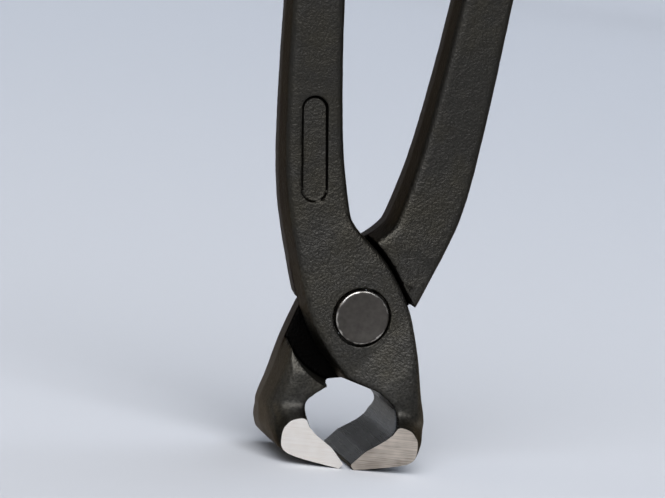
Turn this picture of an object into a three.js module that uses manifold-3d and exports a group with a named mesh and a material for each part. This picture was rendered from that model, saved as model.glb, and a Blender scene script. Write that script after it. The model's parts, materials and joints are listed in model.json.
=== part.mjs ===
// Concreters' nippers: two forged levers that cross in a lap joint and turn on one rivet.
// Millimetres. +Z runs up the tool from the jaws to the handles, the rivet lies along Y, and the
// face that shows the front lever whole looks along -Y. The origin is under the jaws, in the middle.
import * as THREE from "three";
import { mergeVertices } from "three/addons/utils/BufferGeometryUtils.js";
import Module from "manifold-3d";

const wasm = await Module();
wasm.setup();

// Whole tool. Sizes are those of the closed tool. UP and DOWN are measured from the rivet's axis,
// RISE from the underside of the jaws and OUT from the tool's middle plane.
const LENGTH = 280;
const JAW_REACH = 30.2;
const JAW_WIDTH = 24;
const HEAD_WIDTH = 32.8;
const REST_OPENING = 2.9;
const FULL_OPENING = 17;
const RUNNING_GAP = 0.35;

// Handle: where its middle runs, and its width and thickness there
const END_OUT = 16.6;
const END_WIDTH = 9.4;
const END_THICKNESS = 9;
const END_DOME = 4.6;
const GRIP_UP = 160;
const GRIP_OUT = 18.2;
const GRIP_WIDTH = 10.2;
const GRIP_THICKNESS = 9.6;
const BEND_UP = 100;
const BEND_OUT = 17.2;
const BEND_WIDTH = 10.6;
const BEND_THICKNESS = 10;
const SHANK_UP = 62;
const SHANK_OUT = 15.5;
const SHANK_WIDTH = 11.4;
const SHANK_THICKNESS = 10.6;
const NECK_UP = 36;
const NECK_OUT = 13.4;
const NECK_WIDTH = 12.6;
const NECK_THICKNESS = 11.4;
const ROOT_UP = 22;
const ROOT_OUT = 11.1;
const ROOT_WIDTH = 13.6;
const ROOT_THICKNESS = 13;

// Hub: the plate round the rivet, half as thick as the joint
const HUB_THICKNESS = 15;
const HUB_TOP_UP = 10.2;
const HUB_TOP_OUT = 14.75;
const HUB_TOP_THICKNESS = 14.4;
const HUB_SIDE_OUT = 11.3;
const REAR_HUB_TOP_OUT = 14.1;
const REAR_HUB_SIDE_OUT = 10.3;
const FLANK_RADIUS = 10.2;
const HEEL_DOWN = 13.3;
const HEEL_OUT = 1.9;
const CROTCH_UP = 18;
const CROTCH_OUT = 2.4;
const BROW_UP = 13;
const BROW_OUT = 3.2;
const CHEEK_UP = 8.2;
const CHEEK_OUT = 7.1;
const HUB_EDGE_UP = 2.1;
const HUB_EDGE_OUT = 10.5;

// Pocket that the other lever's hub turns in, with a sloping wall towards the jaw, and the ramp that
// falls from the flat of the jaw towards it
const POCKET_CLEARANCE = 1.2;
const POCKET_SLOPE = 6;
const RAMP_DOWN = 13.2;
const RAMP_ANGLE = 24;

// Jaw: its throat curves from the hub's lower edge round to the cutting bevel
const JAW_ROOT_DOWN = 7;
const JAW_ROOT_OUT = 13.3;
const JAW_ROOT_THICKNESS = 17.4;
const JAW_SIDE_DOWN = 14.6;
const JAW_SIDE_OUT = 15;
const JAW_SIDE_THICKNESS = 18.4;
const JAW_WIDEST_RISE = 10.5;
const JAW_SHOULDER_RISE = 8.3;
const JAW_SHOULDER_OUT = 16.2;
const JAW_BACK_RISE = 4.9;
const JAW_BACK_OUT = 15.2;
const JAW_TOE_RISE = 1.8;
const JAW_TOE_OUT = 11.8;
const JAW_THICKNESS = 18.4;
const FLARE_THICKNESS = 25.4;
const THROAT_TOP_DOWN = 14.9;
const THROAT_TOP_OUT = 5.3;
const THROAT_BEND_DOWN = 16.7;
const THROAT_BEND_OUT = 7.6;
const THROAT_SIDE_RISE = 11.7;
const THROAT_SIDE_OUT = 8.9;
const FLARE_RISE = 8.7;
const FLARE_OUT = 8.5;
const THROAT_LOW_RISE = 6.7;
const THROAT_LOW_OUT = 7.1;
const BEVEL_RISE = 4;
const BEVEL_OUT = 2.9;
const EDGE_RISE = 1;
const EDGE_LAND = 0.7;
const GRINDING_STOCK = 1.1;

// Forged edges and draft
const EDGE_ROUND = 1.3;
const JAW_ROOT_ROUND = 2.2;
const JAW_SIDE_ROUND = 3;
const JAW_ROUND = 4.2;
const FLARE_ROUND = 6.4;
const TOE_ROUND = 1.6;
const SHARP_ROUND = 0.4;
const DRAFT_ANGLE = 5.2;
const BACK_DRAFT_ANGLE = 2.6;
const ROOM_DRAFT_ANGLE = 3;

// Rivet
const RIVET_DIAMETER = 10.3;
const RIVET_HEAD_DIAMETER = 10.9;
const RIVET_HEAD_HEIGHT = 2;
const RIVET_PROUD = 0.5;
const RIVET_EDGE_ROUND = 0.4;
const RIVET_RIM_GAP = 0.6;

// Sunk panel on the outer face of each handle
const PANEL_UP = 32.6;
const PANEL_OUT = 13.2;
const PANEL_LEAN = 5.7;
const PANEL_LENGTH = 21;
const PANEL_WIDTH = 5.2;
const PANEL_DEPTH = 0.4;

// How finely the shapes are divided
const STATION_STEPS = 5;
const CORNER_STEPS = 3;
const DOME_STEPS = 4;
const ROUND_STEPS = 40;
const SWEEP_STEPS = 12;
const DOME_CLOSING = 0.2;
const WELD_DISTANCE = 1e-4;

const radians = THREE.MathUtils.degToRad;
const lerp = THREE.MathUtils.lerp;
const at = (x, z) => new THREE.Vector2(x, z);

const forgedSteel = new THREE.MeshStandardMaterial({
  color: 0x3a3835,
  roughness: 0.55,
  metalness: 0.4,
});
const rivetSteel = new THREE.MeshStandardMaterial({
  color: 0x4a4946,
  roughness: 0.45,
  metalness: 0.6,
});

function solidOf(geometry) {
  geometry.deleteAttribute("normal");
  geometry.deleteAttribute("uv");
  const merged = mergeVertices(geometry, WELD_DISTANCE);
  return new wasm.Manifold(
    new wasm.Mesh({
      numProp: 3,
      vertProperties: merged.attributes.position.array,
      triVerts: new Uint32Array(merged.index.array),
    }),
  );
}

function geometryOf(solid) {
  const mesh = solid.getMesh();
  const geometry = new THREE.BufferGeometry();
  geometry.setAttribute("position", new THREE.BufferAttribute(mesh.vertProperties, 3));
  geometry.setIndex(new THREE.BufferAttribute(mesh.triVerts, 1));
  geometry.computeVertexNormals();
  return geometry;
}

// Stations down the front lever, from the end of its handle at the upper left to its cutting edge
// at the lower right. Each one crosses the lever from a left to a right point of its outline in the
// plane of the joint, and holds half the thickness and the rounding and draft of the left and right
// edges. The left outline turns a sharp corner where corner is true.
function handleStation(up, out, width, thickness) {
  return {
    left: at(-out - width / 2, up),
    right: at(-out + width / 2, up),
    half: thickness / 2,
    rounds: [EDGE_ROUND, EDGE_ROUND],
    drafts: [DRAFT_ANGLE, DRAFT_ANGLE],
    corner: false,
  };
}

function headStation(left, right, thickness, rounds, drafts, corner = false) {
  return { left, right, half: thickness / 2, rounds, drafts, corner };
}

function leverStations(hubTopOut, hubSideOut) {
  const handleEnd = LENGTH - JAW_REACH - END_DOME;
  const forged = JAW_WIDTH + 2 * GRINDING_STOCK;
  const flank = FLANK_RADIUS * Math.SQRT1_2;
  const above = (rise) => rise - JAW_REACH;
  const forgedEdges = [EDGE_ROUND, EDGE_ROUND];
  const jawEdges = [SHARP_ROUND, JAW_ROUND];
  const bothSides = [DRAFT_ANGLE, DRAFT_ANGLE];
  const outerSide = [0, DRAFT_ANGLE];
  return [
    handleStation(handleEnd, END_OUT, END_WIDTH, END_THICKNESS),
    handleStation(GRIP_UP, GRIP_OUT, GRIP_WIDTH, GRIP_THICKNESS),
    handleStation(BEND_UP, BEND_OUT, BEND_WIDTH, BEND_THICKNESS),
    handleStation(SHANK_UP, SHANK_OUT, SHANK_WIDTH, SHANK_THICKNESS),
    handleStation(NECK_UP, NECK_OUT, NECK_WIDTH, NECK_THICKNESS),
    handleStation(ROOT_UP, ROOT_OUT, ROOT_WIDTH, ROOT_THICKNESS),
    headStation(
      at(-hubTopOut, HUB_TOP_UP),
      at(-CROTCH_OUT, CROTCH_UP),
      HUB_TOP_THICKNESS,
      forgedEdges,
      bothSides,
    ),
    headStation(
      at(-hubSideOut, 0),
      at(BROW_OUT, BROW_UP),
      HUB_THICKNESS,
      forgedEdges,
      bothSides,
    ),
    headStation(
      at(-flank, -flank),
      at(CHEEK_OUT, CHEEK_UP),
      HUB_THICKNESS,
      forgedEdges,
      bothSides,
    ),
    headStation(
      at(-HEEL_OUT, -HEEL_DOWN),
      at(HUB_EDGE_OUT, HUB_EDGE_UP),
      HUB_THICKNESS,
      forgedEdges,
      bothSides,
      true,
    ),
    headStation(
      at(THROAT_TOP_OUT, -THROAT_TOP_DOWN),
      at(JAW_ROOT_OUT, -JAW_ROOT_DOWN),
      JAW_ROOT_THICKNESS,
      [SHARP_ROUND, JAW_ROOT_ROUND],
      outerSide,
      true,
    ),
    headStation(
      at(THROAT_BEND_OUT, -THROAT_BEND_DOWN),
      at(JAW_SIDE_OUT, -JAW_SIDE_DOWN),
      JAW_SIDE_THICKNESS,
      [SHARP_ROUND, JAW_SIDE_ROUND],
      outerSide,
    ),
    headStation(
      at(THROAT_SIDE_OUT, above(THROAT_SIDE_RISE)),
      at(HEAD_WIDTH / 2, above(JAW_WIDEST_RISE)),
      JAW_THICKNESS,
      jawEdges,
      outerSide,
    ),
    headStation(
      at(FLARE_OUT, above(FLARE_RISE)),
      at(JAW_SHOULDER_OUT, above(JAW_SHOULDER_RISE)),
      FLARE_THICKNESS,
      [SHARP_ROUND, FLARE_ROUND],
      outerSide,
    ),
    headStation(
      at(THROAT_LOW_OUT, above(THROAT_LOW_RISE)),
      at(JAW_BACK_OUT, above(JAW_BACK_RISE)),
      forged,
      jawEdges,
      [0, BACK_DRAFT_ANGLE],
    ),
    headStation(
      at(BEVEL_OUT, above(BEVEL_RISE)),
      at(JAW_TOE_OUT, above(JAW_TOE_RISE)),
      forged,
      [SHARP_ROUND, TOE_ROUND],
      [0, 0],
      true,
    ),
    headStation(
      at(0, above(EDGE_RISE)),
      at(EDGE_LAND, above(0)),
      forged,
      [SHARP_ROUND, SHARP_ROUND],
      [0, 0],
      true,
    ),
  ];
}

// Places of the left outline's corners: the heel, the throat's top, the bevel and the cutting edge.
function cornersOf(stations) {
  return stations.map((s, i) => i).filter((i) => stations[i].corner);
}

// The same list with steps between the stations, its outlines on smooth curves between corners.
function fineStations(stations) {
  const last = stations.length - 1;
  const right = new THREE.SplineCurve(stations.map((s) => s.right));
  const corners = [0, ...cornersOf(stations)];
  const fine = [];
  corners.slice(1).forEach((end, run) => {
    const start = corners[run];
    const left = new THREE.SplineCurve(stations.slice(start, end + 1).map((s) => s.left));
    const steps = (end - start) * STATION_STEPS;
    for (let k = run ? 1 : 0; k <= steps; k++) {
      const place = start + k / STATION_STEPS;
      const from = stations[Math.min(Math.floor(place), last - 1)];
      const to = stations[Math.min(Math.floor(place), last - 1) + 1];
      const t = place - stations.indexOf(from);
      fine.push({
        left: left.getPoint(k / steps),
        right: right.getPoint(place / last),
        half: lerp(from.half, to.half, t),
        rounds: from.rounds.map((r, i) => lerp(r, to.rounds[i], t)),
        drafts: from.drafts.map((d, i) => lerp(d, to.drafts[i], t)),
      });
    }
  });
  return fine;
}

// The round-edged section of the lever at a station, as a closed ring of points.
function sectionRing({ left, right, half, rounds, drafts }) {
  const width = left.distanceTo(right);
  const across = (s, y) => {
    const p = left.clone().lerp(right, s / width);
    return new THREE.Vector3(p.x, y, p.y);
  };
  const corner = (side, face, turn) => {
    const round = rounds[side];
    const inset = round + Math.tan(radians(drafts[side])) * (half - round);
    const s = side ? width - inset : inset;
    const y = face * (half - round);
    return Array.from({ length: CORNER_STEPS + 1 }, (_, k) => {
      const angle = (turn + k / CORNER_STEPS) * (Math.PI / 2);
      return across(s + round * Math.cos(angle), y + round * Math.sin(angle));
    });
  };
  return [
    across(0, 0),
    ...corner(0, -1, 2),
    ...corner(1, -1, 3),
    across(width, 0),
    ...corner(1, 1, 0),
    ...corner(0, 1, 1),
  ];
}

// The rounded end of the handle, as rings that shrink towards its top.
function domeRings(ring) {
  const middle = new THREE.Vector3();
  ring.forEach((p) => middle.addScaledVector(p, 1 / ring.length));
  return Array.from({ length: DOME_STEPS }, (_, k) => {
    const angle = ((DOME_STEPS - k - DOME_CLOSING) / DOME_STEPS) * (Math.PI / 2);
    const lift = new THREE.Vector3(0, 0, END_DOME * Math.sin(angle));
    return ring.map((p) => p.clone().lerp(middle, 1 - Math.cos(angle)).add(lift));
  });
}

function loft(rings) {
  const count = rings[0].length;
  const index = [];
  for (let j = 1; j < count - 1; j++) {
    const base = (rings.length - 1) * count;
    index.push(0, j, j + 1);
    index.push(base, base + j + 1, base + j);
  }
  for (let i = 0; i < rings.length - 1; i++) {
    for (let j = 0; j < count; j++) {
      const a = i * count + j;
      const c = i * count + ((j + 1) % count);
      index.push(a, a + count, c);
      index.push(c, a + count, c + count);
    }
  }
  const geometry = new THREE.BufferGeometry().setFromPoints(rings.flat());
  geometry.setIndex(index);
  return geometry;
}

// A prism of an outline in the plane of the joint, from y = low to y = high.
function prism(shape, low, high) {
  const geometry = new THREE.ExtrudeGeometry(shape, {
    depth: high - low,
    curveSegments: ROUND_STEPS / 4,
    bevelEnabled: false,
  });
  return geometry.rotateX(Math.PI / 2).translate(0, high, 0);
}

// The other lever's hub, neck and jaw root with a running gap round them, drawn in towards its face
// by the draft of the forging.
function roomForOther(upper) {
  const outline = [...upper.map((s) => s.right), ...upper.map((s) => s.left).reverse()];
  const other = new THREE.Shape(outline.map((p) => at(-p.x, p.y)).reverse());
  const reach = JAW_WIDTH / 2 + RUNNING_GAP;
  const drawnIn = reach * Math.tan(radians(ROOM_DRAFT_ANGLE));
  const both = new THREE.ExtrudeGeometry(other, {
    depth: RUNNING_GAP,
    bevelThickness: reach,
    bevelSize: drawnIn,
    bevelOffset: RUNNING_GAP - drawnIn,
    bevelSegments: 1,
  });
  const lap = -RUNNING_GAP / 2;
  return solidOf(both.rotateX(Math.PI / 2).translate(0, -lap, 0)).trimByPlane([0, 1, 0], lap);
}

// What the other lever sweeps behind this one as the tool opens.
function sweptByOther(upper) {
  const other = roomForOther(upper);
  let swept = other;
  for (let k = 1; k <= SWEEP_STEPS; k++) {
    swept = swept.add(other.rotate([0, (FULL_OPENING * k) / SWEEP_STEPS, 0]));
  }
  return swept;
}

// The round pocket behind the jaw's root, wider towards the outer face.
function pocketSolid() {
  const radius = Math.hypot(HEEL_OUT, HEEL_DOWN) + POCKET_CLEARANCE;
  const flare = JAW_WIDTH * Math.tan(radians(POCKET_SLOPE));
  const profile = [
    at(0, -RUNNING_GAP / 2),
    at(radius, -RUNNING_GAP / 2),
    at(radius + flare, JAW_WIDTH),
    at(0, JAW_WIDTH),
  ];
  const cone = new THREE.LatheGeometry(profile, ROUND_STEPS);
  const below = new THREE.BoxGeometry(LENGTH, 2 * JAW_WIDTH, LENGTH).translate(0, 0, -LENGTH / 2);
  return solidOf(cone).intersect(solidOf(below));
}

// What the ramp takes off the pocket's side of the jaw, between its flat and the rivet's height.
function rampCut() {
  const run = RAMP_DOWN / Math.cos(radians(RAMP_ANGLE));
  return solidOf(
    new THREE.BoxGeometry(LENGTH, JAW_WIDTH, run)
      .translate(0, JAW_WIDTH / 2, run / 2)
      .rotateX(radians(RAMP_ANGLE))
      .translate(0, JAW_THICKNESS / 2, -RAMP_DOWN),
  );
}

// The rivet's hole, with room for its head at the outer face.
function rivetHole() {
  const bore = RIVET_DIAMETER / 2 + RUNNING_GAP;
  const seat = RIVET_HEAD_DIAMETER / 2 + RIVET_RIM_GAP;
  const floor = HUB_THICKNESS / 2 + RIVET_PROUD - RIVET_HEAD_HEIGHT - RUNNING_GAP;
  const profile = [
    at(0, -JAW_WIDTH),
    at(seat, -JAW_WIDTH),
    at(seat, -floor),
    at(bore, -floor),
    at(bore, JAW_WIDTH),
    at(0, JAW_WIDTH),
  ];
  return solidOf(new THREE.LatheGeometry(profile, ROUND_STEPS));
}

// The sunk panel, as deep at its top as at its bottom although the handle grows thicker downwards.
function panelCut(fine) {
  const halfAt = (up) => {
    const below = fine.findIndex((s) => (s.left.y + s.right.y) / 2 < up);
    const [high, low] = [fine[below - 1], fine[below]];
    const top = (high.left.y + high.right.y) / 2;
    const bottom = (low.left.y + low.right.y) / 2;
    return lerp(low.half, high.half, (up - bottom) / (top - bottom));
  };
  const radius = PANEL_WIDTH / 2;
  const straight = PANEL_LENGTH / 2 - radius;
  const taper = halfAt(PANEL_UP + straight) - halfAt(PANEL_UP - straight);
  const shape = new THREE.Shape();
  shape.absarc(0, straight, radius, 0, Math.PI);
  shape.absarc(0, -straight, radius, Math.PI, 2 * Math.PI);
  return solidOf(
    prism(shape, -JAW_WIDTH, PANEL_DEPTH)
      .rotateX(Math.atan2(taper, 2 * straight))
      .rotateY(-radians(PANEL_LEAN))
      .translate(-PANEL_OUT, -halfAt(PANEL_UP), PANEL_UP),
  );
}

function leverGeometry(stations, otherStations) {
  const fine = fineStations(stations);
  const rings = fine.map(sectionRing);
  const [, throatTop] = cornersOf(otherStations);
  const otherUpper = fineStations(otherStations).slice(0, throatTop * STATION_STEPS + 1);
  const ground = new THREE.BoxGeometry(LENGTH, JAW_WIDTH, 2 * LENGTH);
  return geometryOf(
    solidOf(loft([...domeRings(rings[0]), ...rings]))
      .intersect(solidOf(ground))
      .subtract(sweptByOther(otherUpper))
      .subtract(pocketSolid())
      .subtract(rampCut())
      .subtract(rivetHole())
      .subtract(panelCut(fine)),
  );
}

function rivetGeometry() {
  const end = HUB_THICKNESS / 2 + RIVET_PROUD;
  const head = RIVET_HEAD_DIAMETER / 2;
  const shank = RIVET_DIAMETER / 2;
  const round = RIVET_EDGE_ROUND;
  const profile = new THREE.Path();
  profile.moveTo(0, -end);
  profile.lineTo(head - round, -end);
  profile.absarc(head - round, round - end, round, -Math.PI / 2, 0);
  profile.lineTo(head, RIVET_HEAD_HEIGHT - end);
  profile.lineTo(shank, RIVET_HEAD_HEIGHT - end);
  profile.lineTo(shank, end - RIVET_HEAD_HEIGHT);
  profile.lineTo(head, end - RIVET_HEAD_HEIGHT);
  profile.lineTo(head, end - round);
  profile.absarc(head - round, end - round, round, 0, Math.PI / 2);
  profile.lineTo(0, end);
  return new THREE.LatheGeometry(profile.getPoints(CORNER_STEPS), ROUND_STEPS);
}

function namedMesh(name, geometry, material) {
  const mesh = new THREE.Mesh(geometry, material);
  mesh.name = name;
  return mesh;
}

const frontStations = leverStations(HUB_TOP_OUT, HUB_SIDE_OUT);
const rearStations = leverStations(REAR_HUB_TOP_OUT, REAR_HUB_SIDE_OUT);
const tool = new THREE.Group();
const front = new THREE.Group();
front.rotation.y = -radians(REST_OPENING / 2);
front.add(namedMesh("front_lever", leverGeometry(frontStations, rearStations), forgedSteel));
const rear = new THREE.Group();
rear.rotation.y = radians(REST_OPENING / 2);
const rearLever = namedMesh("rear_lever", leverGeometry(rearStations, frontStations), forgedSteel);
rearLever.rotation.z = Math.PI;
rear.add(rearLever);
tool.add(front, rear, namedMesh("rivet", rivetGeometry(), rivetSteel));

// The tool stands with the underside of its jaws at the height of the origin.
const underside = new THREE.Box3().setFromObject(tool, true).min.z;
tool.position.z = -underside;
const nippers = new THREE.Group();
nippers.add(tool);

export default nippers;
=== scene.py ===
import json
import math

import bmesh
import bpy
from bpy.props import FloatProperty, FloatVectorProperty, IntProperty, PointerProperty
from mathutils import Matrix, Vector


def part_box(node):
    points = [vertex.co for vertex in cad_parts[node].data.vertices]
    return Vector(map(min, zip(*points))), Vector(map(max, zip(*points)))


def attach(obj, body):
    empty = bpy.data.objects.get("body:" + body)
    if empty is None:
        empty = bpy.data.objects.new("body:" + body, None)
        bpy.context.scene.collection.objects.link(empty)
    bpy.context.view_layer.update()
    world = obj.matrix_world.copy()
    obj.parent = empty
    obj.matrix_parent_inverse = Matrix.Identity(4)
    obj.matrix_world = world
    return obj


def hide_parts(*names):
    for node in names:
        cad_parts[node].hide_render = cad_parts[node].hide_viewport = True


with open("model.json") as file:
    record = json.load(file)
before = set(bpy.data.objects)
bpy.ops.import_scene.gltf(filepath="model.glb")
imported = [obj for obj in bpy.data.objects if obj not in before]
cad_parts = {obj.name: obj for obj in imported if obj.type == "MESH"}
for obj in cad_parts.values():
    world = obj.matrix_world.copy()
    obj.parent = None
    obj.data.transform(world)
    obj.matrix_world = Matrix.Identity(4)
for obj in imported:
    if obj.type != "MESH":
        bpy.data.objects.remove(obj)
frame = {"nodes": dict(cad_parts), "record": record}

bl_info = {
    "name": "Concreters Nippers",
    "version": (1, 0, 0),
    "blender": (4, 5, 0),
    "location": "View3D > Sidebar > Nippers",
    "description": "Forges, rivets and lights a pair of concreters nippers round its packed solids",
    "category": "Object",
}

MM = 0.001
WELD = 0.001 * MM  # vertices nearer to each other than this are merged
TOUCH = 0.01 * MM  # what is nearer to a plane than this lies on it
ROUND_STEPS = 96  # sides of the rivet and of its holes
CREASE = math.radians(40)  # sharper edges stay sharp in the shading
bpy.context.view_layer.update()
PIVOT = Vector(frame["record"]["behaviour"]["joints"][0]["pos_m"])
JAW_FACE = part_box("front_lever")[1].y
RIVET_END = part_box("rivet")[1].y
RIVET_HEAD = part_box("rivet")[1].x
IMAGE_WIDTH = 665
IMAGE_HEIGHT = 498


def linear(code):
    """An sRGB hex colour as linear red, green, blue and alpha."""
    parts = [int(code[at:at + 2], 16) / 255 for at in (1, 3, 5)]
    bands = [part / 12.92 if part <= 0.04045 else ((part + 0.055) / 1.055) ** 2.4 for part in parts]
    return bands + [1]


def length(label, about, default):
    """A size in metres that shows with its unit in the panel."""
    return FloatProperty(name=label, description=about, default=default, unit="LENGTH", precision=5)


def spot(label, about, default):
    """A place in metres."""
    return FloatVectorProperty(name=label, description=about, default=default, size=3,
                               subtype="TRANSLATION", unit="LENGTH")


def colour(label, about, default):
    """A linear colour that starts from an sRGB hex value."""
    return FloatVectorProperty(name=label, description=about, default=linear(default), size=4,
                               subtype="COLOR")


def angle(label, about, degrees):
    """An angle that starts from degrees."""
    return FloatProperty(name=label, description=about, default=math.radians(degrees), unit="ROTATION")


def number(label, about, default, subtype="UNSIGNED"):
    """A strength, a power or a number of picture pixels."""
    return FloatProperty(name=label, description=about, default=default, subtype=subtype)


def count(label, about, default):
    """A number of passes or segments."""
    return IntProperty(name=label, description=about, default=default, subtype="UNSIGNED")


class LeverSizes(bpy.types.PropertyGroup):
    """How the two levers are forged, ground and stamped."""

    skin_step: length("Skin step", "Edge length of the even mesh that carries the forged skin", 0.4 * MM)
    soften_passes: count("Soften passes", "How far the forged edges are rounded", 6)
    dressing_passes: count("Dressing passes", "How far the flare's root is dressed", 12)
    flare_low: length("Flare low", "Height where the dressed root of the jaw's flare starts", 7.4 * MM)
    flare_high: length("Flare high", "Height where the dressed root of the jaw's flare ends", 13.5 * MM)
    waviness: length("Waviness", "Height of the hammer unevenness of the forging", 0.12 * MM)
    waviness_spacing: length("Waviness spacing", "From one swell of the forging to the next", 5 * MM)
    grinding_stock: length("Grinding stock", "What grinding takes off the sides of the jaws", 0.3 * MM)
    front_lean: angle("Front lean", "Lean of the grinding lines on the front lever's jaw", 4)
    rear_lean: angle("Rear lean", "Lean of the grinding lines on the rear lever's jaw", -28)
    hub_half: length("Hub half thickness", "From the lap of the levers to the face of the hub", 7.5 * MM)
    plug_start: length("Plug start", "From the tool's middle to the plug in the forged hub", 0.4 * MM)
    plug_overlap: length("Plug overlap", "How far that plug is wider than the rivet's seat", 0.5 * MM)
    seat_radius: length("Seat radius", "Radius of the seat that the rivet's head fills", 6.05 * MM)
    seat_floor: length("Seat floor", "From the tool's middle to the seat's floor", 5.65 * MM)
    bore_radius: length("Bore radius", "Radius of the hole for the rivet's shank", 5.5 * MM)
    throat_down: length("Throat down", "How far the throat's middle is below the rivet", 20 * MM)
    throat_top_down: length("Throat top down", "How far the throat's top is below the rivet", 14.2 * MM)
    rest_turn: angle("Rest turn", "How far each lever is turned open at rest", 1.45)
    panel_up: length("Panel up", "Height of the panel's middle above the rivet", 32.6 * MM)
    panel_out: length("Panel out", "From the tool's middle plane to the panel's middle", 13.2 * MM)
    panel_face: length("Panel face", "From the tool's middle to the handle's face", 5.89 * MM)
    panel_lean: angle("Panel lean", "How far the panel leans outwards with the handle", 5.7)
    panel_taper: angle("Panel taper", "How far the handle's face falls back along the panel", 3.3)
    panel_length: length("Panel length", "Length of the pressed panel", 21.3 * MM)
    panel_width: length("Panel width", "Width of the pressed panel", 5.5 * MM)
    panel_depth: length("Panel depth", "Depth of the panel's bare floor", 0.4 * MM)
    panel_clear: length("Panel clear", "How far the panel's cutter stands out of the handle", 2 * MM)
    groove_width: length("Groove width", "Width of the groove round the panel", 0.55 * MM)
    groove_depth: length("Groove depth", "Depth of the groove round the panel", 1.0 * MM)


class RivetSizes(bpy.types.PropertyGroup):
    """The rivet, from head to head."""

    shank_radius: length("Shank radius", "Radius of the shank in the levers", 5.15 * MM)
    head_radius: length("Head radius", "Radius of both pressed heads", RIVET_HEAD)
    head_height: length("Head height", "Thickness of each head", 2 * MM)
    rim_round: length("Rim round", "Rounding of the heads' rims", 0.35 * MM)
    rim_segments: count("Rim segments", "Steps of that rounding", 5)
    face_inset: length("Face inset", "Width of the ring that the press leaves along the rim", 0.5 * MM)
    face_dip: length("Face dip", "How far the face lies below that ring", 0.05 * MM)


class FinishColours(bpy.types.PropertyGroup):
    """Colours of the steel's finishes."""

    scale_black: colour("Scale black", "Black of the phosphated forging", "#383632")
    scale_brown: colour("Scale brown", "Brown cast where oil and dust have settled", "#3c3932")
    # Painted shade: the near black laid in the lap round the rivet and on the flares above the ground
    # sides.
    painted_shade: colour("Grime", "Old oil and soot in the lap, and the scale on the flares", "#0a0908")
    glance_brown: colour("Glance brown", "Tint of the oil film seen at a low angle", "#b4ada8")
    glance_jaw: colour("Glance jaw", "That tint on the dressed jaws", "#e2d5c6")
    # One ground steel in two copies: the rear jaw's side is made lighter by painted light and the front
    # jaw's side darker by painted shade.
    lit_side_light: colour("Bright light", "Steel of the rear jaw's ground side", "#fdf6ec")
    lit_side_dark: colour("Bright dark", "Duller streaks on the rear jaw's ground side", "#e9dfd2")
    shaded_side_light: colour("Dull light", "Steel of the front jaw's ground side", "#d3c6b7")
    shaded_side_dark: colour("Dull dark", "Duller streaks on the front jaw's ground side", "#83796e")
    throat_dark: colour("Throat dark", "Oil darkened steel inside the jaws", "#5f6061")
    throat_light: colour("Throat light", "Steel that shows through inside the jaws", "#717273")
    throat_glance: colour("Throat glance", "Tint of that steel at a low angle", "#cfcac3")
    rivet_grey: colour("Rivet grey", "Pressed face of the rivet", "#4c4843")
    rim_steel: colour("Rim steel", "Rubbed rim of the rivet", "#b4aea5")


class StageSettings(bpy.types.PropertyGroup):
    """Floor, lights and camera."""

    floor_colour: colour("Floor colour", "Pale floor that rises to a pale wall", "#bdbdbd")
    sky_colour: colour("Sky colour", "Tint of the light from above, behind and the room", "#e6efff")
    warm_colour: colour("Warm colour", "Tint of the light in front and at the left", "#fff3e2")
    floor_radius: length("Floor radius", "Radius of the level floor", 6)
    wall_height: length("Wall height", "Height of the curved wall round the floor", 2.5)
    key_power: number("Key power", "Power of the front soft light", 9, "POWER")
    key_size: length("Key size", "Side of the front soft light", 1.2)
    key_place: spot("Key place", "Place of the front soft light", (-0.1, -1.0, 1.1))
    key_aim: spot("Key aim", "Place that the front soft light is turned to", (0, 0, 0.1))
    side_strength: number("Side strength", "Strength of the low light at the left", 0.8)
    side_spread: angle("Side spread", "How wide that light is, seen from the tool", 42)
    side_tilt: angle("Side tilt", "How far that light stands off to the left, from straight above", 81)
    sky_strength: number("Sky strength", "Strength of the wide light from above", 3.75)
    sky_spread: angle("Sky spread", "How wide that light is, seen from the tool", 60)
    sky_tilt: angle("Sky tilt", "How far that light stands in front, from straight above", 45)
    sky_side: angle("Sky side", "How far that light stands to the left of the tool's face", 8)
    back_strength: number("Back strength", "Strength of the soft light from behind", 2)
    back_spread: angle("Back spread", "How wide that light is, seen from the tool", 50)
    back_tilt: angle("Back tilt", "How far that light stands behind the tool, from straight above", 65)
    back_side: angle("Back side", "How far that light stands to the right, seen from the front", 50)
    fill_level: number("Fill level", "Strength of the even light of the room", 0.12)
    camera_yaw: angle("Camera yaw", "How far the camera looks past the tool's face to the right", 14.5)
    camera_pitch: angle("Camera pitch", "How far the camera looks down", 6)
    camera_roll: angle("Camera roll", "How far the tool leans in the picture", 8.1)
    camera_distance: length("Camera distance", "Distance of the rivet's face from the camera", 0.6)
    focal_pixels: number("Focal length", "Focal length in picture pixels", 3000, "PIXEL")
    rivet_across: number("Rivet across", "Picture column of the rivet's face", 362.6, "PIXEL")
    rivet_down: number("Rivet down", "Picture row of the rivet's face", 318, "PIXEL")


def pick(*pieces):
    """Back in object mode, selects these pieces only and makes the first of them active."""
    if bpy.context.object and bpy.context.object.mode != "OBJECT":
        bpy.ops.object.mode_set(mode="OBJECT")
    bpy.ops.object.select_all(action="DESELECT")
    for piece in pieces:
        piece.select_set(True)
    bpy.context.view_layer.objects.active = pieces[0] if pieces else None


def edit(piece):
    """Opens one piece in edit mode with all of it selected."""
    pick(piece)
    bpy.ops.object.mode_set(mode="EDIT")
    bpy.ops.mesh.select_all(action="SELECT")


def select(kind, test):
    """In edit mode, selects the vertices, edges or faces that pass the test, and no others."""
    piece = bpy.context.edit_object
    bpy.ops.mesh.select_mode(type={"verts": "VERT", "edges": "EDGE", "faces": "FACE"}[kind])
    bpy.ops.mesh.select_all(action="DESELECT")
    mesh = bmesh.from_edit_mesh(piece.data)
    for part in getattr(mesh, kind):
        if test(part):
            part.select = True
    mesh.select_flush_mode()
    bmesh.update_edit_mesh(piece.data)


def leave_edit():
    """Back to object mode."""
    bpy.ops.object.mode_set(mode="OBJECT")


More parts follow.
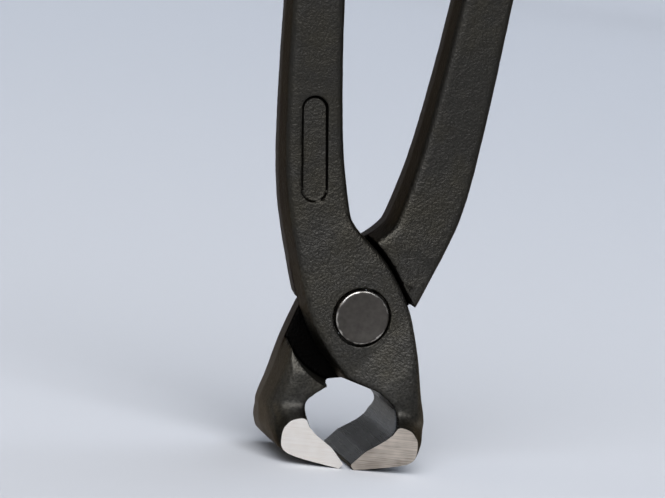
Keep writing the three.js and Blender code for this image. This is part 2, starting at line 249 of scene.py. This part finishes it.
def new_piece(name):
    """Names the primitive that was just added, puts its place in its mesh and returns it."""
    piece = bpy.context.object
    piece.name = name
    piece.data.name = name
    bpy.ops.object.transform_apply(location=True, rotation=True, scale=True)
    return piece


def modify(piece, kind, name, **settings):
    """Adds a modifier with its settings and applies it."""
    pick(piece)
    modifier = piece.modifiers.new(name, kind)
    for key, value in settings.items():
        setattr(modifier, key, value)
    bpy.ops.object.modifier_apply(modifier=modifier.name)


def cut(piece, cutter):
    """Takes the cutter's shape out of the piece, and throws the cutter away."""
    modify(piece, "BOOLEAN", cutter.name, operation="DIFFERENCE", solver="MANIFOLD", object=cutter)
    pick(cutter)
    bpy.ops.object.delete()


def node(tree, kind, links=None, **settings):
    """Adds a shader node, sets its settings, and fills or links its inputs."""
    made = tree.nodes.new("ShaderNode" + kind)
    for key, value in settings.items():
        setattr(made, key, value)
    for name, source in (links or {}).items():
        socket = made.inputs[name]
        if isinstance(source, bpy.types.NodeSocket):
            tree.links.new(source, socket)
        else:
            socket.default_value = source
    return made


def noise(tree, place, size, detail, roughness=0.5):
    """A cloudy pattern whose patches are so many metres wide."""
    links = {"Vector": place, "Scale": 1 / size, "Detail": detail, "Roughness": roughness}
    return node(tree, "TexNoise", links).outputs["Fac"]


def ramp(tree, value, low, high, start=0, end=1):
    """A value that runs from start to end while another runs from low to high."""
    links = {"Value": value, "From Min": low, "From Max": high, "To Min": start, "To Max": end}
    return node(tree, "MapRange", links).outputs["Result"]


def reckon(tree, operation, *values):
    """One step of arithmetic."""
    return node(tree, "Math", dict(enumerate(values)), operation=operation).outputs["Value"]


def mix(tree, factor, first, second):
    """A colour between two others."""
    links = {"Factor": factor, "A": first, "B": second}
    return node(tree, "Mix", links, data_type="RGBA").outputs["Result"]


def shade(tree, tone, amount):
    """A colour made darker or lighter."""
    return node(tree, "VectorMath", {0: tone, "Scale": amount}, operation="SCALE").outputs["Vector"]


def rivet_radius(tree, place):
    """Distance from the rivet's axis."""
    links = {"Vector": place, "Location": (0, 0, -PIVOT.z), "Scale": (1, 0, 1)}
    centred = node(tree, "Mapping", links).outputs["Vector"]
    return node(tree, "VectorMath", {0: centred}, operation="LENGTH").outputs["Value"]


def bump(tree, height, distance, strength, **below):
    """A relief of this height in metres, over the normal below it if there is one."""
    links = {"Height": height, "Distance": distance, "Strength": strength, **below}
    return node(tree, "Bump", links).outputs["Normal"]


def new_material(name):
    """An empty node material and its tree."""
    material = bpy.data.materials.new(name)
    material.use_nodes = True
    tree = material.node_tree
    tree.nodes.clear()
    return material, tree


def object_place(tree):
    """The place on the piece, in metres."""
    return node(tree, "TexCoord").outputs["Object"]


def make_metal(tree, tone, roughness, normal, **more):
    """Ends a material as bare metal."""
    links = {"Base Color": tone, "Roughness": roughness, "Normal": normal, "Metallic": 1.0, **more}
    steel = node(tree, "BsdfPrincipled", links)
    node(tree, "OutputMaterial", {"Surface": steel.outputs["BSDF"]})


def black_forged_steel(colours):
    """Drop-forged carbon steel, shot blasted, phosphated and oiled: a near black, finely grained skin
    with a low sheen, brownish where oil holds dust, and a little lighter where the grain is rubbed.
    Painted shade blackens the lap round the rivet and darkens the flares above the ground sides."""
    material, tree = new_material("black_phosphated_forged_steel")
    place = object_place(tree)
    apart = node(tree, "SeparateXYZ", {"Vector": place})
    height = apart.outputs["Z"]
    depth = reckon(tree, "ABSOLUTE", apart.outputs["Y"])
    # Blast grit leaves dimples of about 0.3 mm; drawn at 0.5 mm so that they show.
    grit = noise(tree, place, 0.5 * MM, 2, 0.6)
    coarse = noise(tree, place, 1.6 * MM, 2)
    stain = noise(tree, place, 9 * MM, 4, 0.6)
    skin = mix(tree, ramp(tree, stain, 0.42, 0.66), colours.scale_black, colours.scale_brown)
    # Work rubs the ridges between the dimples, most on the hub, and their floors stay black.
    work = ramp(tree, height, 37 * MM, 50 * MM, 1.5, 0.95)
    rubbed = shade(tree, skin, ramp(tree, grit, 0.3, 0.7, 0.75, work))
    # Painted shade blackens the lap round the rivet, within 1 mm of the plane where the levers slide,
    # where the front lever shades the pocket.
    sunk = ramp(tree, depth, 1.2 * MM, 0.6 * MM)
    near = ramp(tree, rivet_radius(tree, place), 17.5 * MM, 15.5 * MM)
    lap_shade = reckon(tree, "MULTIPLY", sunk, near)
    # Painted shade darkens the flares above the ground sides.
    flare = ramp(tree, depth, 8.7 * MM, 10.9 * MM, 0, 0.7)
    shaded_skin = mix(tree, reckon(tree, "MAXIMUM", lap_shade, flare), rubbed, colours.painted_shade)
    # The jaws were dressed smooth before they were blackened and hands wear the handles, so the grain
    # is strongest on the hub.
    dressed = ramp(tree, height, 12 * MM, 28 * MM, 0.25, 1.0)
    handled = ramp(tree, height, 40 * MM, 70 * MM, 1.0, 0.6)
    grained = reckon(tree, "MULTIPLY", dressed, handled)
    swell = bump(tree, coarse, 0.12 * MM, grained)
    dimple = bump(tree, grit, 0.22 * MM, grained, Normal=swell)
    glance = mix(tree, dressed, colours.glance_jaw, colours.glance_brown)
    make_metal(tree, shaded_skin, 0.43, dimple, **{"Specular Tint": glance})
    return material


def ground_steel(name, light, dark, lean):
    """Carbon steel ground flat on a belt: bare metal with fine straight lines across the jaw."""
    material, tree = new_material(name)
    place = object_place(tree)
    # A grinding line is about 0.05 mm wide; drawn at 0.18 mm so that it shows.
    along = node(tree, "Mapping", {"Vector": place, "Rotation": (0, lean, 0),
                                   "Scale": (1 / (9 * MM), 1 / (9 * MM), 1 / (0.18 * MM))})
    lines = noise(tree, along.outputs["Vector"], 1, 4, 0.65)
    cloud = noise(tree, place, 5 * MM, 2)
    dull = ramp(tree, reckon(tree, "ADD", lines, cloud), 0.8, 1.3)
    tone = mix(tree, dull, light, dark)
    make_metal(tree, tone, ramp(tree, dull, 0, 1, 0.3, 0.46), bump(tree, lines, 0.018 * MM, 0.6))
    return material


def throat_steel(colours):
    """Carbon steel machined inside the jaws and darkened by oil: smooth and grey, with faint lines along
    the bore."""
    material, tree = new_material("machined_oiled_throat_steel")
    place = object_place(tree)
    # A tool mark is about 0.05 mm wide; drawn at 0.2 mm so that it shows.
    along = node(tree, "Mapping", {"Vector": place,
                                   "Scale": (1 / (0.2 * MM), 1 / (20 * MM), 1 / (0.2 * MM))})
    marks = noise(tree, along.outputs["Vector"], 1, 3, 0.6)
    tone = mix(tree, marks, colours.throat_dark, colours.throat_light)
    rough = ramp(tree, marks, 0.3, 0.7, 0.24, 0.36)
    groove = bump(tree, marks, 0.004 * MM, 0.5)
    make_metal(tree, tone, rough, groove, **{"Specular Tint": colours.throat_glance})
    return material


def pressed_rivet_steel(colours):
    """Mild steel pressed flat and blackened: smoother than the forgings, with a rim rubbed bright."""
    material, tree = new_material("pressed_blackened_rivet_steel")
    place = object_place(tree)
    grit = noise(tree, place, 0.4 * MM, 3, 0.6)
    patch = noise(tree, place, 1.3 * MM, 3, 0.6)
    span = noise(tree, place, 3 * MM, 2)
    # The rubbed rim is a broken line about 0.3 mm wide.
    wander = reckon(tree, "MULTIPLY_ADD", patch, 0.9 * MM, -0.45 * MM)
    reach = reckon(tree, "ADD", rivet_radius(tree, place), wander)
    edge = ramp(tree, reach, RIVET_HEAD - 0.42 * MM, RIVET_HEAD - 0.18 * MM)
    rim = reckon(tree, "MULTIPLY", edge, ramp(tree, span, 0.45, 0.58))
    face = shade(tree, colours.rivet_grey[:3], ramp(tree, patch, 0.3, 0.7, 0.85, 1.15))
    tone = mix(tree, rim, face, colours.rim_steel)
    rough = ramp(tree, rim, 0, 1, 0.42, 0.25)
    press = bump(tree, patch, 0.04 * MM, 0.4)
    dimple = bump(tree, grit, 0.02 * MM, 0.5, Normal=press)
    make_metal(tree, tone, rough, dimple, **{"Specular Tint": colours.glance_brown})
    return material


def pale_floor(paint):
    """Matt painted board, plain and pale."""
    material, tree = new_material("matt_painted_board")
    links = {"Base Color": paint, "Roughness": 0.9, "Specular IOR Level": 0.2}
    board = node(tree, "BsdfPrincipled", links)
    node(tree, "OutputMaterial", {"Surface": board.outputs["BSDF"]})
    return material


def seat_cutter(radius, inner, outer):
    """A round cutter along the rivet, from one distance off the tool's middle to another."""
    pick()
    middle = (0, -(inner + outer) / 2, PIVOT.z)
    bpy.ops.mesh.primitive_cylinder_add(vertices=ROUND_STEPS, radius=radius, depth=outer - inner,
                                        location=middle, rotation=(math.pi / 2, 0, 0))
    return new_piece("rivet_seat_cutter")


def panel_cutter(sizes):
    """An obround cutter with a stepped end, which leaves a groove round the panel's raised floor."""
    pick()
    straight = (sizes.panel_length - sizes.panel_width) / 2
    bpy.ops.mesh.primitive_circle_add(vertices=ROUND_STEPS // 2, radius=sizes.panel_width / 2,
                                      fill_type="NGON")
    cutter = new_piece("panel_cutter")
    edit(cutter)
    for way in (-1, 1):
        select("verts", lambda vert: vert.co.y * way > WELD)
        bpy.ops.transform.translate(value=(0, way * straight, 0))
    bpy.ops.mesh.select_all(action="SELECT")
    bpy.ops.transform.translate(value=(0, 0, -sizes.groove_depth))
    select("edges", lambda side: side.is_boundary)
    rise = (0, 0, sizes.groove_depth + sizes.panel_clear)
    bpy.ops.mesh.extrude_edges_move(TRANSFORM_OT_translate={"value": rise})
    bpy.ops.mesh.edge_face_add()
    select("faces", lambda face: face.calc_center_median().z < TOUCH - sizes.groove_depth)
    bpy.ops.mesh.inset(thickness=sizes.groove_width, depth=0)
    bpy.ops.transform.translate(value=(0, 0, sizes.groove_depth - sizes.panel_depth))
    bpy.ops.mesh.select_all(action="SELECT")
    bpy.ops.mesh.normals_make_consistent(inside=False)
    leave_edit()
    cutter.matrix_world = (
        Matrix.Translation(PIVOT)
        @ Matrix.Rotation(-sizes.rest_turn, 4, "Y")
        @ Matrix.Translation((-sizes.panel_out, -sizes.panel_face, sizes.panel_up))
        @ Matrix.Rotation(-sizes.panel_lean, 4, "Y")
        @ Matrix.Rotation(math.pi / 2 - sizes.panel_taper, 4, "X")
    )
    pick(cutter)
    bpy.ops.object.transform_apply(location=True, rotation=True, scale=True)
    return cutter


def turn_half_round(piece):
    """Turns a lever half round about +Z, from the front place to the rear one or back."""
    edit(piece)
    bpy.ops.transform.rotate(value=math.pi, orient_axis="Z", center_override=(0, 0, 0))
    leave_edit()


def forged_blank(lever, sizes):
    """A copy of a lever's solid, in the front place, with stock on its ground faces and its rivet hole
    filled."""
    source = frame["nodes"][lever]
    blank = bpy.data.objects.new(lever + "_forging", source.data.copy())
    bpy.context.collection.objects.link(blank)
    if lever == "rear_lever":
        turn_half_round(blank)
    edit(blank)
    bpy.ops.mesh.remove_doubles(threshold=WELD)
    for way in (-1, 1):
        select("verts", lambda vert: vert.co.y * way > JAW_FACE - TOUCH)
        bpy.ops.transform.translate(value=(0, way * sizes.grinding_stock, 0))
    leave_edit()
    plug = seat_cutter(sizes.seat_radius + sizes.plug_overlap, sizes.plug_start, sizes.hub_half)
    pick(blank, plug)
    bpy.ops.object.join()
    return blank


def forge(blank, sizes):
    """Gives the blank an even skin, soft edges and the slight unevenness of a forging."""
    pick(blank)
    blank.data.remesh_voxel_size = sizes.skin_step
    blank.data.remesh_voxel_adaptivity = 0
    bpy.ops.object.voxel_remesh()
    modify(blank, "SMOOTH", "soften", factor=0.5, iterations=sizes.soften_passes)
    edit(blank)
    select("verts", lambda vert: sizes.flare_low < vert.co.z < sizes.flare_high
           and abs(vert.co.y) > sizes.hub_half)
    bpy.ops.mesh.vertices_smooth(factor=0.5, repeat=sizes.dressing_passes)
    leave_edit()
    swell = bpy.data.textures.new("forging_swell", "CLOUDS")
    swell.noise_scale = sizes.waviness_spacing
    modify(blank, "DISPLACE", "swell", texture=swell, texture_coords="LOCAL", strength=sizes.waviness,
           mid_level=0.5)


def grind(blank):
    """Grinds both sides of the jaw flat."""
    edit(blank)
    for way in (-1, 1):
        bpy.ops.mesh.select_all(action="SELECT")
        bpy.ops.mesh.bisect(plane_co=(0, way * JAW_FACE, 0), plane_no=(0, way, 0), use_fill=True,
                            clear_outer=True, threshold=1e-7)
    leave_edit()


def on_ground_side(face):
    """Whether a face lies flat on one of the ground sides of the jaw."""
    return abs(face.normal.y) > 0.99 and abs(face.calc_center_median().y) > JAW_FACE - TOUCH


def in_throat(face, sizes):
    """Whether a face of a lever in the front place lines the throat between the jaws."""
    centre = face.calc_center_median()
    inwards = Vector((0, 0, PIVOT.z - sizes.throat_down)) - centre
    inwards.y = 0
    low = centre.z < PIVOT.z - sizes.throat_top_down
    across = abs(face.normal.y) < 0.4
    return low and across and face.normal.dot(inwards.normalized()) > 0.3


def finish_lever(lever, sizes, black, ground, throat):
    """Black skin all over, bright ground sides, a machined throat, and smooth shading between sharp
    edges."""
    lever.data.materials.clear()
    for steel in (black, ground, throat):
        lever.data.materials.append(steel)
    edit(lever)
    for slot, test in ((1, on_ground_side), (2, lambda face: in_throat(face, sizes))):
        select("faces", test)
        lever.active_material_index = slot
        bpy.ops.object.material_slot_assign()
    leave_edit()
    pick(lever)
    bpy.ops.object.shade_smooth_by_angle(angle=CREASE)
    # What is larger than the skin's mesh is flat: the panel's floor and the ground sides.
    edit(lever)
    select("faces", lambda face: face.calc_area() > sizes.skin_step * sizes.panel_width)
    bpy.ops.mesh.faces_shade_flat()
    select("faces", lambda face: face.material_index == 1)
    bpy.ops.mesh.faces_shade_flat()
    bpy.ops.mesh.region_to_loop()
    bpy.ops.mesh.mark_sharp()
    leave_edit()


class NIPPERS_OT_levers(bpy.types.Operator):
    """Forge both levers, grind the sides of their jaws, seat the rivet and press the panel"""

    bl_idname = "nippers.levers"
    bl_label = "Levers"

    def execute(self, context):
        sizes = context.scene.nippers_levers
        colours = context.scene.nippers_colours
        black = black_forged_steel(colours)
        throat = throat_steel(colours)
        # A lit and a shaded copy of one ground steel: painted shade on the front jaw's side, painted
        # light on the rear jaw's side.
        dull = ground_steel("dull_belt_ground_steel", colours.shaded_side_light, colours.shaded_side_dark,
                            sizes.front_lean)
        bright = ground_steel("bright_belt_ground_steel", colours.lit_side_light, colours.lit_side_dark,
                              sizes.rear_lean)
        for name, ground in (("front_lever", dull), ("rear_lever", bright)):
            lever = forged_blank(name, sizes)
            forge(lever, sizes)
            grind(lever)
            cut(lever, seat_cutter(sizes.seat_radius, sizes.seat_floor, 2 * sizes.hub_half))
            cut(lever, seat_cutter(sizes.bore_radius, -2 * sizes.hub_half, 2 * sizes.hub_half))
            cut(lever, panel_cutter(sizes))
            finish_lever(lever, sizes, black, ground, throat)
            if name == "rear_lever":
                turn_half_round(lever)
            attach(lever, name)
            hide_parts(name)
        return {"FINISHED"}


class NIPPERS_OT_rivet(bpy.types.Operator):
    """Turn the rivet and press both of its heads"""

    bl_idname = "nippers.rivet"
    bl_label = "Rivet"

    def execute(self, context):
        sizes = context.scene.nippers_rivet
        shank_end = RIVET_END - sizes.head_height
        pick()
        bpy.ops.mesh.primitive_cylinder_add(vertices=ROUND_STEPS, radius=sizes.shank_radius,
                                            depth=2 * shank_end, location=PIVOT,
                                            rotation=(math.pi / 2, 0, 0))
        rivet = new_piece("rivet_pressed")
        edit(rivet)
        spread = sizes.head_radius / sizes.shank_radius
        for way in (-1, 1):
            cap = (0, way * shank_end, PIVOT.z)
            rise = (0, way * sizes.head_height, 0)
            select("faces", lambda face: face.calc_center_median().y * way > shank_end - TOUCH)
            bpy.ops.mesh.extrude_region_move(TRANSFORM_OT_translate={"value": (0, 0, 0)})
            bpy.ops.transform.resize(value=(spread, 1, spread), center_override=cap)
            bpy.ops.mesh.extrude_region_move(TRANSFORM_OT_translate={"value": rise})
            select("edges", lambda side: all(vert.co.y * way > RIVET_END - TOUCH for vert in side.verts))
            bpy.ops.mesh.bevel(offset=sizes.rim_round, segments=sizes.rim_segments, affect="EDGES")
            select("faces", lambda face: face.normal.y * way > 0.999 and len(face.verts) > 4)
            bpy.ops.mesh.inset(thickness=sizes.face_inset, depth=0)
            bpy.ops.mesh.inset(thickness=sizes.face_inset / 2, depth=0)
            bpy.ops.transform.translate(value=(0, -way * sizes.face_dip, 0))
        bpy.ops.mesh.select_all(action="SELECT")
        bpy.ops.mesh.remove_doubles(threshold=WELD)
        bpy.ops.mesh.normals_make_consistent(inside=False)
        leave_edit()
        bpy.ops.object.shade_smooth_by_angle(angle=CREASE)
        rivet.data.materials.append(pressed_rivet_steel(context.scene.nippers_colours))
        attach(rivet, "front_lever")
        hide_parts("rivet")
        return {"FINISHED"}


def soft_light(name, power, size, place, aim, tint):
    """A square soft light at a place, turned to its aim."""
    bpy.ops.object.light_add(type="AREA", location=place)
    light = bpy.context.object
    light.name = name
    light.data.energy = power
    light.data.size = size
    light.data.color = tint
    light.rotation_euler = (Vector(aim) - Vector(place)).to_track_quat("-Z", "Y").to_euler()


def wide_light(name, strength, spread, turn, tint):
    """A far light that is as wide as a part of the sky, turned from straight above."""
    bpy.ops.object.light_add(type="SUN", location=(0, 0, 2), rotation=turn)
    light = bpy.context.object
    light.name = name
    light.data.energy = strength
    light.data.angle = spread
    light.data.color = tint


def lay_floor(settings):
    """A level floor whose border rises in a smooth curve to a wall."""
    pick()
    sides, steps = 128, 12
    bpy.ops.mesh.primitive_circle_add(vertices=sides, radius=settings.floor_radius, fill_type="NGON")
    floor = new_piece("studio_floor")
    edit(floor)
    bpy.ops.mesh.select_mode(type="EDGE")
    reach, rise = settings.floor_radius, 0.0
    for step in range(1, steps + 1):
        turn = math.pi / 2 * step / steps
        next_reach = settings.floor_radius + settings.wall_height * math.sin(turn)
        next_rise = settings.wall_height * (1 - math.cos(turn))
        growth = next_reach / reach
        bpy.ops.mesh.extrude_edges_move(TRANSFORM_OT_translate={"value": (0, 0, next_rise - rise)})
        bpy.ops.transform.resize(value=(growth, growth, 1), center_override=(0, 0, next_rise))
        reach, rise = next_reach, next_rise
    leave_edit()
    bpy.ops.object.shade_smooth()
    floor.data.materials.append(pale_floor(settings.floor_colour))


def place_camera(settings):
    """Puts the camera where the rivet's face falls on its place in the picture."""
    yaw, pitch, roll = settings.camera_yaw, settings.camera_pitch, settings.camera_roll
    ahead = Vector((math.sin(yaw) * math.cos(pitch), math.cos(yaw) * math.cos(pitch), -math.sin(pitch)))
    level = Vector((math.cos(yaw), -math.sin(yaw), 0))
    above = level.cross(ahead)
    right = math.cos(roll) * level + math.sin(roll) * above
    up = math.cos(roll) * above - math.sin(roll) * level
    across = (settings.rivet_across - IMAGE_WIDTH / 2) / settings.focal_pixels
    down = (settings.rivet_down - IMAGE_HEIGHT / 2) / settings.focal_pixels
    ray = ahead + right * across - up * down
    place = PIVOT + Vector((0, -RIVET_END, 0)) - ray * settings.camera_distance
    bpy.ops.object.camera_add()
    camera = bpy.context.object
    camera.name = "camera"
    camera.matrix_world = Matrix.Translation(place) @ Matrix((right, up, -ahead)).transposed().to_4x4()
    camera.data.lens = settings.focal_pixels / IMAGE_WIDTH * camera.data.sensor_width
    camera.data.clip_start = 0.01
    bpy.context.scene.camera = camera


class NIPPERS_OT_stage(bpy.types.Operator):
    """Lay the floor, hang the lights and place the camera"""

    bl_idname = "nippers.stage"
    bl_label = "Stage"

    def execute(self, context):
        settings = context.scene.nippers_stage
        warm, sky = settings.warm_colour[:3], settings.sky_colour[:3]
        lay_floor(settings)
        soft_light("front_light", settings.key_power, settings.key_size, settings.key_place,
                   settings.key_aim, warm)
        wide_light("side_light", settings.side_strength, settings.side_spread,
                   (settings.side_tilt, 0, -math.pi / 2), warm)
        wide_light("sky_light", settings.sky_strength, settings.sky_spread,
                   (settings.sky_tilt, 0, -settings.sky_side), sky)
        wide_light("back_light", settings.back_strength, settings.back_spread,
                   (-settings.back_tilt, 0, -settings.back_side), sky)
        world = bpy.data.worlds.new("room")
        world.use_nodes = True
        background = world.node_tree.nodes["Background"].inputs
        background["Color"].default_value = settings.sky_colour
        background["Strength"].default_value = settings.fill_level
        context.scene.world = world
        context.scene.view_settings.view_transform = "Standard"
        place_camera(settings)
        return {"FINISHED"}


class NIPPERS_PT_panel(bpy.types.Panel):
    """The steps and their sizes, in the sidebar"""

    bl_idname = "NIPPERS_PT_panel"
    bl_label = "Concreters Nippers"
    bl_space_type = "VIEW_3D"
    bl_region_type = "UI"
    bl_category = "Nippers"

    def draw(self, context):
        for key in GROUPS:
            group = getattr(context.scene, key)
            box = self.layout.box()
            for name in group.__annotations__:
                box.prop(group, name)
        for operator in (NIPPERS_OT_levers, NIPPERS_OT_rivet, NIPPERS_OT_stage):
            self.layout.operator(operator.bl_idname)


GROUPS = {
    "nippers_levers": LeverSizes,
    "nippers_rivet": RivetSizes,
    "nippers_colours": FinishColours,
    "nippers_stage": StageSettings,
}
CLASSES = (*GROUPS.values(), NIPPERS_OT_levers, NIPPERS_OT_rivet, NIPPERS_OT_stage, NIPPERS_PT_panel)


def register():
    for item in CLASSES:
        bpy.utils.register_class(item)
    for name, group in GROUPS.items():
        setattr(bpy.types.Scene, name, PointerProperty(type=group))


def unregister():
    for name in GROUPS:
        delattr(bpy.types.Scene, name)
    for item in reversed(CLASSES):
        bpy.utils.unregister_class(item)


def main():
    register()
    bpy.ops.nippers.levers()
    bpy.ops.nippers.rivet()
    bpy.ops.nippers.stage()


if __name__ == "__main__":
    main()
